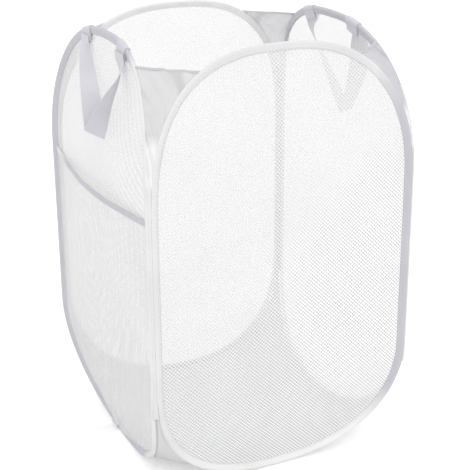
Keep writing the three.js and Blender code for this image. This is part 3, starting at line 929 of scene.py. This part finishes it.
class HAMPER_OT_corners(bpy.types.Operator):
    """Seam tapes, gussets, gusset hems and their stitching, at the four corners"""

    bl_idname = "hamper.corners"
    bl_label = "Corners"

    def execute(self, context):
        settings = context.scene.hamper_fabric
        for seed, (name, (_, _, turn)) in enumerate(CORNERS.items()):
            self.seam(name, turn, settings)
            self.gusset(name, turn, settings, 2.9 + seed)
        return {"FINISHED"}

    def seam(self, name, turn, settings):
        leg, foot, head = 0.0045, 0.128, 0.436
        ridge = [(0.0, 0.0015), (0.0010, 0.0016), (0.0019, 0.0020), (0.0028, 0.0020), (0.0034, 0.0012),
                 (0.0037, 0.0)]
        ridge += [(d, -across) for d, across in reversed(ridge[:-1])]
        plan = [(leg, 0.0, 0), (0.0010, -0.00005, 0)]
        plan += [((s - d) / math.sqrt(2), -(s + d) / math.sqrt(2), s) for d, s in ridge]
        plan += [(-0.00005, 0.0010, 0), (0.0, leg, 0), (CLOTH, leg, 0), (CLOTH, 0.0022, 0),
                 (0.0010, 0.0010, 0), (0.0022, CLOTH, 0), (leg, CLOTH, 0)]
        rows = 60

        def place(s, t):
            z = foot + (head - foot) * s
            face = TUBE_HALF + GAP - wall_offset(z)
            x, y, side = plan[round(t * len(plan)) % len(plan)]
            spread = 0.85 * (corner_half_gap(z, 0) - corner_half_gap(0.3, 0))
            if side:
                x, y = x + math.copysign(spread, side), y - math.copysign(spread, side)
            uneven = 1 + 0.05 * ripple(x, z, y, 40.0, 0.4)
            return Vector((face + x * uneven, face + y * uneven, z + FLOOR_LIFT))

        bm = sheet_mesh(rows, len(plan), place, lambda s, t: (s * (head - foot), t * 4 * leg))
        bmesh.ops.holes_fill(bm, edges=[e for e in bm.edges if e.is_boundary], sides=0)
        tape = add_object(name + "_seam_binding", bm, MATERIALS["left_tape"], turn)
        corner_across(tape)
        own(tape, None, name + "_seam_tape")
        lines = []
        for swap in (False, True):
            line = []
            for i in range(rows + 1):
                z = foot + (head - foot) * i / rows
                face = TUBE_HALF + GAP - wall_offset(z)
                at = (face + CLOTH, face + 0.0035) if swap else (face + 0.0035, face + CLOTH)
                normal = Vector((1, 0, 0)) if swap else Vector((0, 1, 0))
                line.append((Vector((*at, z + FLOOR_LIFT)), normal))
            lines.append(line)
        sewing = stitched(name + "_seam_stitches", None, turn, lines, settings)
        corner_across(sewing)

    def gusset(self, name, turn, settings, seed):
        height = GUSSET_HEAD - GUSSET_FOOT

        def place(s, t):
            return gusset_place(GUSSET_FOOT + height * t, 2 * s - 1, seed)

        bm = sheet_mesh(30, 44, place, lambda s, t: ((2 * s - 1) * 0.05, t * height))
        panel = cloth(name + "_gusset_cloth", bm, "gusset", turn, SHEET_THICKNESS)
        corner_across(panel)
        own(panel, None, name + "_gusset")

        base = corner_point(GUSSET_HEAD, 0, 0)
        slope = (base - corner_point(GUSSET_HEAD - 0.0055, 0, 0)).normalized()
        out = slope.cross(CORNER_ACROSS)
        section = [(-0.0026, 0.0006), (-0.0014, 0.0009), (0.0, 0.0010), (0.0009, 0.0008), (0.0013, 0.0),
                   (0.0009, -0.0008), (0.0, -0.0010), (-0.0014, -0.0009), (-0.0026, -0.0006)]
        places = []
        steps = 40
        for i in range(steps + 1):
            share = 2 * i / steps - 1
            point = gusset_place(GUSSET_HEAD, share, seed)
            dip = 0.0012 * (1 - share ** 2) * (1 + ripple(share, 0, seed, 3.0))
            places.append(Station(share, 0, point - slope * dip, slope, out))
        hem = strip(name + "_gusset_hem_tape", places, section, "trim", turn)
        corner_across(hem)
        own(hem, None, name + "_gusset_hem")
        sewing = stitched(name + "_gusset_stitches", None, turn, both_faces(places, -0.0034, 0.0005),
                          settings)
        corner_across(sewing)


# The middle's share of the base's half width
BASE_MIDDLE = 0.6


def arc_share_height(share):
    """How high the hoop's foot is at a share of its half width."""
    fall = (1 - min(1.0, abs(share)) ** BOTTOM_ROUNDNESS) ** (1 / BOTTOM_ROUNDNESS)
    return BOTTOM_ARC * (1 - fall)


def base_point(u, v):
    """The base at shares of the hamper's half width: flat in the middle, rising to its corners."""
    chord = max(0.0, abs(u) + abs(v) - 1)
    edge = max(0.0, max(abs(u), abs(v)) - 0.86) / 0.14
    reach = TUBE_HALF + 0.0001
    x = u * (wall_offset(arc_share_height(v)) - reach)
    y = v * (wall_offset(arc_share_height(u)) - reach)
    rumple = 0.0009 * (1 + ripple(x, y, 0, 16.0, 8.8)) + 0.0006 * (1 + ripple(x, y, 0, 47.0, 2.2))
    rumple *= 1 - max(abs(u), abs(v)) ** 8
    return Vector((x, y, arc_share_height(chord) + 0.0025 * edge + rumple + 0.0004))


class HAMPER_OT_base(bpy.types.Operator):
    """The cloth base, in a middle and four corners; the middle rides the front wall"""

    bl_idname = "hamper.base"
    bl_label = "Base"

    def execute(self, context):
        steps = 48
        signs = ((-1, -1), (1, -1), (1, 1), (-1, 1))
        for name, (x_sign, y_sign) in zip(CORNERS, signs):
            def shares(s, t):
                inner = (BASE_MIDDLE * s, BASE_MIDDLE * (1 - s))
                outer = (min(1.0, 2 * s), min(1.0, 2 - 2 * s))
                return [a + (b - a) * t for a, b in zip(inner, outer)]

            def place(s, t):
                u, v = shares(s, t)
                return base_point(x_sign * u, y_sign * v)

            def flat(s, t):
                u, v = shares(s, t)
                return x_sign * u * SEAM_HALF, y_sign * v * SEAM_HALF

            bm = sheet_mesh(steps, 40, place, flat)
            if x_sign * y_sign < 0:
                bmesh.ops.reverse_faces(bm, faces=bm.faces[:])
            corner = cloth("base_" + name, bm, "cloth", 0.0, SHEET_THICKNESS, 1.0)
            corner_across(corner)

        def middle(s, t):
            return BASE_MIDDLE * (s - t), BASE_MIDDLE * (s + t - 1)

        bm = sheet_mesh(steps, steps, lambda s, t: base_point(*middle(s, t)),
                        lambda s, t: tuple(SEAM_HALF * share for share in middle(s, t)))
        centre = cloth("base_middle", bm, "cloth", 0.0, SHEET_THICKNESS, 1.0)
        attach(centre, "front_wall")
        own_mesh(centre)
        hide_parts("base_panel")
        return {"FINISHED"}


POCKET_FOOT, POCKET_MOUTH = 0.0105, 0.390
POCKET_INSET, POCKET_BULGE = 0.0087, 0.016
POCKET_SEED = 4.4


def pocket_point(across, up):
    """A point of the pocket: across from -1 to 1, up from 0 at its foot to 1 at its mouth."""
    side = POCKET_FOOT + (POCKET_MOUTH - POCKET_FOOT) * up
    bay = 1 - across ** 2
    z = side - 0.006 * bay * up ** 2
    bulge = POCKET_BULGE * bay ** 2 * math.sin(math.pi / 2 * up) ** 1.5 * (1 - 0.65 * up ** 6)
    slack = bay * min(1.0, up * 4) * (1.0 - 0.7 * up ** 6)
    creases = (0.0016 * ripple(across, up, 0, 3.2, POCKET_SEED)
               + 0.0007 * ripple(across, up * 0.5, 0, 9.0, POCKET_SEED))
    edge = -0.0020
    stand = edge + (0.0039 + 0.0009 * up - edge) * bay + bulge + slack * creases
    low = side - 0.0085 * max(0.0, 1 - side / BOTTOM_ARC)
    return wall_point(across * (edge_half_width(low) - POCKET_INSET), z, stand)


class HAMPER_OT_pocket(bpy.types.Operator):
    """The net pocket of the left wall, with the tape along its mouth"""

    bl_idname = "hamper.pocket"
    bl_label = "Pocket"

    def execute(self, context):
        settings = context.scene.hamper_fabric
        turn = TURNS["left"]

        def place(s, t):
            return pocket_point(2 * s - 1, t ** 1.5)

        def flat(s, t):
            p = place(s, t)
            return p.x, p.z

        bm = sheet_mesh(56, 64, place, flat)
        net = cloth("pocket_net", bm, "pocket_net", turn)
        own(net, "left_wall", "pocket_mesh")
        out = wall_normal(POCKET_MOUTH)
        up = -Vector((1, 0, 0)).cross(out)
        section = [(-0.0065, 0.0010), (-0.004, 0.0012), (0.0, 0.00125), (0.0010, 0.0011), (0.0015, 0.0),
                   (0.0010, -0.0011), (0.0, -0.00125), (-0.004, -0.0012), (-0.0065, -0.0010)]
        places = []
        for j in range(81):
            across = 2 * j / 80 - 1
            edge = pocket_point(across, 1)
            edge += up * 0.0007 * ripple(across, 0, 0, 5.0, 1.3) * (1 - across ** 2)
            places.append(Station(edge.x, edge.z, edge, up, out))
        tape = strip("pocket_mouth_tape", places, section, "trim", turn)
        own(tape, "left_wall", "pocket_mouth_binding")
        sewing = stitched("pocket_stitches", "left_wall", turn, both_faces(places, -0.0050, 0.00125),
                          settings)
        return {"FINISHED"}


# Webbing handles: where each end wraps its hoop, how far each leg's middle leans along the wall
# and stands off it, and where the loop folds at its lowest point
WEBBING_HALF = 0.014
WEBBING_THICKNESS = 0.0014
HANDLES = {
    "left": dict(first=(-0.070, 0.040, 0.013), second=(0.063, 0.035, 0.012), fold_at=0.050,
                 fold_out=0.203, drop=0.103, turn=math.radians(-75), tilt=math.radians(-28), slow=1.0),
    "right": dict(first=(0.060, 0.036, 0.0095), second=(-0.060, 0.004, 0.014), fold_at=0.017,
                  fold_out=0.202, drop=0.136, turn=math.radians(64), tilt=0.0),
}
AXIS_DROP = 0.016
FOLD_RADIUS = 0.0022
LEG_RUN = 0.022
LEG_FLAT = 1 / 6
LEG_STEPS = 48
FOLD_STEPS = 12


def curve_points(points, count):
    """A centripetal curve through points, as the solids' straps follow."""
    padded = [points[0] * 2 - points[1], *points, points[-1] * 2 - points[-2]]
    made = []
    for n in range(count + 1):
        at = (len(points) - 1) * n / count
        i = min(int(at), len(points) - 2)
        share = at - i
        p0, p1, p2, p3 = padded[i : i + 4]
        d0 = max((p1 - p0).length_squared ** 0.25, 1e-9)
        d1 = max((p2 - p1).length_squared ** 0.25, 1e-9)
        d2 = max((p3 - p2).length_squared ** 0.25, 1e-9)
        t1 = ((p1 - p0) / d0 - (p2 - p0) / (d0 + d1) + (p2 - p1) / d1) * d1
        t2 = ((p2 - p1) / d1 - (p3 - p1) / (d1 + d2) + (p3 - p2) / d2) * d1
        made.append(p1 + t1 * share + (p1 * -3 + p2 * 3 - t1 * 2 - t2) * share ** 2
                    + (p1 * 2 - p2 * 2 + t1 + t2) * share ** 3)
    return made


def webbing_root(centre, height):
    """Where the webbing leaves its wrap, at the height of its axis."""
    place = station_at(TOP_STATIONS, centre)
    out = TUBE_HALF + GAP + 0.0012 + GAP + WEBBING_THICKNESS / 2
    down = (place.point.z - height) / -place.inward.z
    return place.at(down, out)


def handle_path(first, second, fold_at, fold_out, drop, turn, tilt, slow=0.0):
    """Points of the loop's centre line, each with the webbing's turn and tilt."""
    side = math.copysign(1, second[0] - first[0])
    height = WALL_HEIGHT + FLOOR_LIFT - AXIS_DROP
    across = Vector((math.cos(turn), -math.sin(turn), 0))
    step = Vector((-across.y, across.x, 0))
    step *= math.copysign(1, step.x) * side * FOLD_RADIUS
    fold = Vector((fold_at, -fold_out, height - drop + FOLD_RADIUS))

    def leg(centre, lean, stand, end):
        root = webbing_root(centre, height)
        below = Vector((lean / 2, -stand / 2, -LEG_RUN))
        middle = root.lerp(end, 0.5) + Vector((lean, -stand, 0))
        return curve_points([root, root + below, middle, end], LEG_STEPS)

    half_turn = math.copysign(math.pi, turn)
    twist = lambda i: max(0.0, i / LEG_STEPS - LEG_FLAT) / (1 - LEG_FLAT)
    path = [(point, turn * twist(i), tilt * twist(i))
            for i, point in enumerate(leg(*first, fold - step))]
    for i in range(1, FOLD_STEPS):
        angle = math.pi * i / FOLD_STEPS
        point = fold - step * math.cos(angle)
        point.z -= FOLD_RADIUS * math.sin(angle)
        path.append((point, turn, tilt))
    for i, point in reversed(list(enumerate(leg(*second, fold + step)))):
        share = twist(i) * (1 + slow * (0.3 - 1.5 * twist(i) + 1.2 * twist(i) ** 2))
        path.append((point, half_turn + (turn - half_turn) * share, tilt * twist(i)))
    return path


def webbing_places(path):
    """The handle's path as places, for its section."""
    places = []
    for i, (point, turn, tilt) in enumerate(path):
        along = (path[min(i + 1, len(path) - 1)][0] - path[max(i - 1, 0)][0]).normalized()
        across = Vector((math.cos(turn), -math.sin(turn), math.tan(tilt))).normalized()
        places.append(Station(0, 0, point, across, along.cross(across).normalized()))
    return places


def ribbon_section(half, thickness):
    """A flat tape's section with rolled edges."""
    h, t = half, thickness / 2
    top = [(-h, 0.0), (-h + 0.0003, t * 0.8), (-h + 0.001, t), (-h / 2, t * 0.96), (0.0, t),
           (h / 2, t * 0.96), (h - 0.001, t), (h - 0.0003, t * 0.8), (h, 0.0)]
    return top + [(x, -y) for x, y in reversed(top[1:-1])]


def wrap_section():
    """Webbing folded over the tape: its inside follows the tape, its outer leg carries the strap."""
    outer = TUBE_HALF + 0.0014
    inside = [(0.018, 0.0006), (0.0125, 0.0008)] + [(x, y + 0.00015) for x, y in TAPE_SECTION[:9]]
    lining = [(x, -y) for x, y in inside] + [(-0.00025, 0.0)]
    lining += [(x, y) for x, y in reversed(inside)] + [(0.0215, 0.0006), (0.0218, 0.0016)]
    face = [(0.0180, 0.0036), (0.0138, outer), (0.003, outer + 0.0001), (0.0006, outer - 0.0004),
            (-0.0010, 0.0026), (-0.0015, 0.0010), (-0.0015, -0.0010), (-0.0010, -0.0026),
            (0.0006, -outer + 0.0004), (0.003, -outer - 0.0001), (0.0055, -outer + 0.0004),
            (0.0085, -0.0031), (0.0120, -0.0023), (0.0178, -0.0021), (0.018, -0.0019)]
    return lining + face


class HAMPER_OT_handles(bpy.types.Operator):
    """The two webbing handles, the wraps that hold them on their hoops, and the box stitching"""

    bl_idname = "hamper.handles"
    bl_label = "Handles"

    def execute(self, context):
        settings = context.scene.hamper_fabric
        for name, handle in HANDLES.items():
            turn = TURNS[name]
            path = handle_path(**handle)
            run = sum((b[0] - a[0]).length for a, b in zip(path, path[1:]))
            strap = strip(name + "_handle_webbing", webbing_places(path),
                          ribbon_section(WEBBING_HALF, WEBBING_THICKNESS), "webbing", turn)
            own(strap, name + "_handle", name + "_handle_strap")
            for end, centre in (("rear", handle["first"][0]), ("front", handle["second"][0])):
                self.wrap(name, end, centre, turn, settings)
        return {"FINISHED"}

    def wrap(self, name, end, centre, turn, settings):
        places = stations_across(TOP_STATIONS, centre + WEBBING_HALF, centre - WEBBING_HALF, 20)
        label = "%s_handle_%s" % (name, end)
        wrap = strip(label + "_loop", places, wrap_section(), "webbing", turn)
        own(wrap, name + "_wall", label + "_wrap")
        out = TUBE_HALF + 0.00155
        lines = []
        for side, low, high in ((1, 0.0045, 0.0125), (-1, 0.0045, 0.0165)):
            def spot(share, depth):
                i = min(int(share * 20), 19)
                place = places[i].mixed(places[i + 1], share * 20 - i)
                reach = out if side > 0 or depth < 0.0055 else max(0.0022, out - 0.6 * (depth - 0.0055))
                return place.at(depth, side * reach), place.out * side
            a, b, c, d = (0.1, low), (0.9, low), (0.9, high), (0.1, high)
            for (s0, d0), (s1, d1) in ((a, b), (b, c), (c, d), (d, a), (a, c), (b, d)):
                lines.append([spot(s0 + (s1 - s0) * k / 8, d0 + (d1 - d0) * k / 8) for k in range(9)])
        stitched(label + "_box_stitches", name + "_wall", turn, lines, settings)


class HAMPER_OT_tie(bpy.types.Operator):
    """The tie strap on the floor at the left wall, and the patch that sews it on"""

    bl_idname = "hamper.tie"
    bl_label = "Tie strap"

    def execute(self, context):
        settings = context.scene.hamper_fabric
        turn = TURNS["left"]
        centre, half, reach, thickness = -0.031, 0.010, 0.081, 0.0012
        tab_in = TUBE_HALF + GAP + 0.0008 + GAP
        places = stations_across(BOTTOM_STATIONS, centre - half, centre + half, 16)
        tab_out = tab_in + thickness
        section = [(0.0014, tab_in), (0.013, tab_in), (0.0132, tab_in + 0.0006), (0.013, tab_out),
                   (0.006, tab_out + 0.0001), (0.0014, tab_out), (0.0011, tab_in + 0.0006)]
        tab = strip("tie_patch", places, section, "webbing", turn)
        own(tab, "left_wall", "tie_strap_tab")
        _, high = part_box("tie_strap")
        root = Vector((centre, high.x, 0))
        line = []
        for i in range(61):
            share = i / 60
            lift = 0.0009 * math.sin(math.pi * share) ** 2 * (1 + ripple(share, 0, 0, 5.0, 6.1))
            point = root + Vector((0, -reach * share, 0.0005 + max(0.0, lift)))
            line.append(Station(0, 0, point, Vector((1, 0, 0)), Vector((0, 0, 1))))
        strap = strip("tie_tape", line, ribbon_section(half, 0.0009), "tie", turn)
        own(strap, "tie_strap", "tie_strap")
        up = Vector((0, 0, 1))
        rows = [[(Vector((centre + x, high.x - reach + y, 0.0011)), up) for x in (-0.008, 0.008)]
                for y in (0.0045, 0.007)]
        sewing = stitched("tie_stitches", "tie_strap", turn, rows, settings)
        box = [face_line(places[2:-2], depth, tab_out + 0.0002, 1) for depth in (0.004, 0.011)]
        stitched("tie_patch_stitches", "left_wall", turn, box, settings)
        return {"FINISHED"}


# The floor gives the camera a little light of its own, so that it stays near white
FLOOR_GLOW = 0.36


class HAMPER_OT_stage(bpy.types.Operator):
    """Camera, floor, sky and lamps"""

    bl_idname = "hamper.stage"
    bl_label = "Stage"

    def execute(self, context):
        settings = context.scene.hamper_stage
        scene = context.scene
        scene.view_settings.view_transform = "Standard"

        data = bpy.data.cameras.new("camera")
        data.sensor_width = 36
        data.lens = settings.lens
        data.shift_x, data.shift_y = settings.shift
        camera = bpy.data.objects.new("camera", data)
        camera.location = settings.camera_place
        camera.rotation_euler = Euler(settings.camera_turn, "XYZ")
        scene.collection.objects.link(camera)
        scene.camera = camera

        world = bpy.data.worlds.new("studio")
        world.use_nodes = True
        nodes, links = world.node_tree.nodes, world.node_tree.links
        sky = nodes["Background"]
        preset(sky, dict(Color=(1, 1, 1, 1), Strength=settings.sky))
        white = nodes.new("ShaderNodeBackground")
        preset(white, dict(Color=(1, 1, 1, 1), Strength=1.0))
        path = nodes.new("ShaderNodeLightPath")
        seen = path.outputs["Is Camera Ray"]
        for ray in ("Is Glossy Ray", "Is Transmission Ray"):
            seen = math_node(nodes, links, "MAXIMUM", seen, path.outputs[ray])
        mix = nodes.new("ShaderNodeMixShader")
        links.new(seen, mix.inputs[0])
        links.new(sky.outputs[0], mix.inputs[1])
        links.new(white.outputs[0], mix.inputs[2])
        links.new(mix.outputs[0], nodes["World Output"].inputs["Surface"])
        scene.world = world

        bm = bmesh.new()
        bmesh.ops.create_grid(bm, x_segments=1, y_segments=1, size=settings.floor_size / 2)
        bmesh.ops.translate(bm, verts=bm.verts[:], vec=(0, 0, -0.0005))
        floor = add_object("floor", bm, self.floor_finish(), closed=False)

        self.lamp("key lamp", (-0.8, -2.6, 2.4), settings.lamp, 2.4)
        self.lamp("top lamp", (0.2, 0.4, 3.0), settings.lamp * 0.5, 2.0)
        return {"FINISHED"}

    def floor_finish(self):
        material = bpy.data.materials.new("pale floor")
        material.use_nodes = True
        nodes, links = material.node_tree.nodes, material.node_tree.links
        shader = nodes["Principled BSDF"]
        preset(shader, {"Base Color": (0.9, 0.9, 0.9, 1), "Roughness": 0.9})
        glow = nodes.new("ShaderNodeEmission")
        preset(glow, dict(Color=(1, 1, 1, 1), Strength=FLOOR_GLOW))
        add = nodes.new("ShaderNodeAddShader")
        links.new(shader.outputs[0], add.inputs[0])
        links.new(glow.outputs[0], add.inputs[1])
        path = nodes.new("ShaderNodeLightPath")
        mix = nodes.new("ShaderNodeMixShader")
        links.new(path.outputs["Is Camera Ray"], mix.inputs[0])
        links.new(shader.outputs[0], mix.inputs[1])
        links.new(add.outputs[0], mix.inputs[2])
        links.new(mix.outputs[0], nodes["Material Output"].inputs["Surface"])
        return material

    def lamp(self, name, place, power, size):
        data = bpy.data.lights.new(name, "AREA")
        data.energy = power
        data.size = size
        lamp = bpy.data.objects.new(name, data)
        lamp.location = place
        lamp.rotation_mode = "QUATERNION"
        lamp.rotation_quaternion = (Vector((0, 0, 0.3)) - Vector(place)).to_track_quat("-Z", "Y")
        bpy.context.scene.collection.objects.link(lamp)


class HAMPER_PT_panel(bpy.types.Panel):
    """Lists the hamper's settings and the pieces that can be made"""

    bl_idname = "HAMPER_PT_panel"
    bl_label = "Hamper"
    bl_space_type = "VIEW_3D"
    bl_region_type = "UI"
    bl_category = "Hamper"

    def draw(self, context):
        scene = context.scene
        for title, group in (("Fabrics", scene.hamper_fabric), ("Stage", scene.hamper_stage)):
            box = self.layout.box()
            box.label(text=title)
            for key in group.__annotations__:
                box.prop(group, key)
        for operator in OPERATORS:
            self.layout.operator(operator.bl_idname)


OPERATORS = (HAMPER_OT_stage, HAMPER_OT_walls, HAMPER_OT_corners, HAMPER_OT_base, HAMPER_OT_pocket,
             HAMPER_OT_handles, HAMPER_OT_tie)
CLASSES = (HamperFabricSettings, HamperStageSettings, *OPERATORS, HAMPER_PT_panel)


def register():
    for item in CLASSES:
        bpy.utils.register_class(item)
    bpy.types.Scene.hamper_fabric = bpy.props.PointerProperty(type=HamperFabricSettings)
    bpy.types.Scene.hamper_stage = bpy.props.PointerProperty(type=HamperStageSettings)


def unregister():
    del bpy.types.Scene.hamper_stage
    del bpy.types.Scene.hamper_fabric
    for item in reversed(CLASSES):
        bpy.utils.unregister_class(item)


def main():
    register()
    build_materials(bpy.context.scene.hamper_fabric)
    bpy.ops.hamper.stage()
    bpy.ops.hamper.walls()
    bpy.ops.hamper.corners()
    bpy.ops.hamper.base()
    bpy.ops.hamper.pocket()
    bpy.ops.hamper.handles()
    bpy.ops.hamper.tie()


if __name__ == "__main__":
    main()
